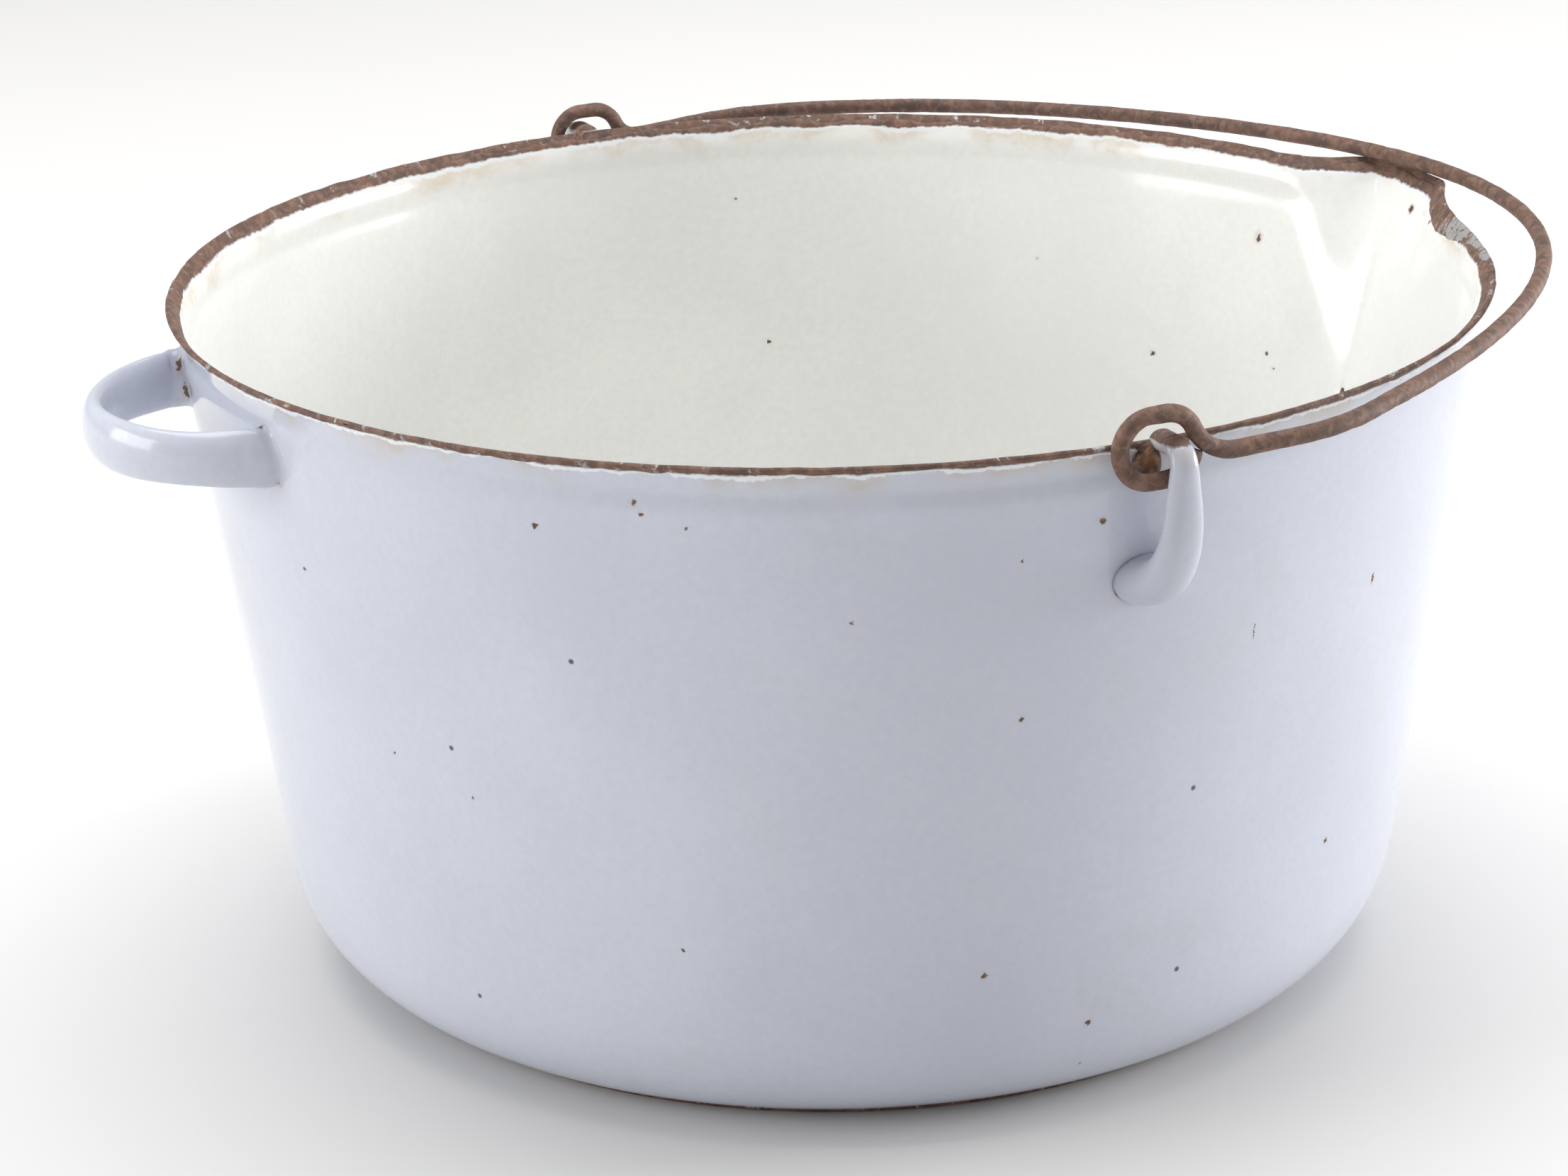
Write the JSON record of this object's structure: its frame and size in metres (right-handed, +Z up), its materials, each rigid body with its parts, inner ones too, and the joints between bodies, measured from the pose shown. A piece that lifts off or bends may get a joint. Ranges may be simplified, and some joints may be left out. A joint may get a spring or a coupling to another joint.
{
  "type": "stock pot",
  "caption": "Round enamelled steel stock pot with a pouring spout, a side handle and a swinging wire bail.",
  "frame": {"origin": "middle of the flat base, on the surface that the pot stands on", "axes": "+X from the middle towards the pouring spout, -X towards the side handle, the bail's ears on +Y and -Y, +Z up"},
  "size_m": [0.426, 0.405, 0.2114],
  "materials": {
    "bare_steel": "bare drawn steel, grey where rubbed and rusted brown at the rim and foot",
    "blue_enamel": "glossy pale blue-grey glass enamel with pinholes, rust chips and thin stains",
    "cream_enamel": "glossy off-white glass enamel with small dark specks",
    "handle_enamel": "glossy blue-grey enamel on steel, chipped and cracked at the feet",
    "rusty_wire": "round steel wire, evenly rusted dark brown with orange patches"
  },
  "bodies": {
    "pot": {"pot_shell": "bare_steel", "outer_enamel": "blue_enamel", "inner_enamel": "cream_enamel", "side_handle": "handle_enamel", "side_handle_welds": "handle_enamel", "front_ear": "handle_enamel", "front_ear_weld": "handle_enamel", "rear_ear": "handle_enamel", "rear_ear_weld": "handle_enamel"},
    "bail": {"bail": "rusty_wire"}
  },
  "joints": [
    {"name": "bail_swing", "type": "hinge", "parent": "pot", "child": "bail", "pos_m": [0.002, 0, 0.2004], "axis": [-0.0103, -0.9999, 0], "range_deg": [0, 181]}
  ]
}
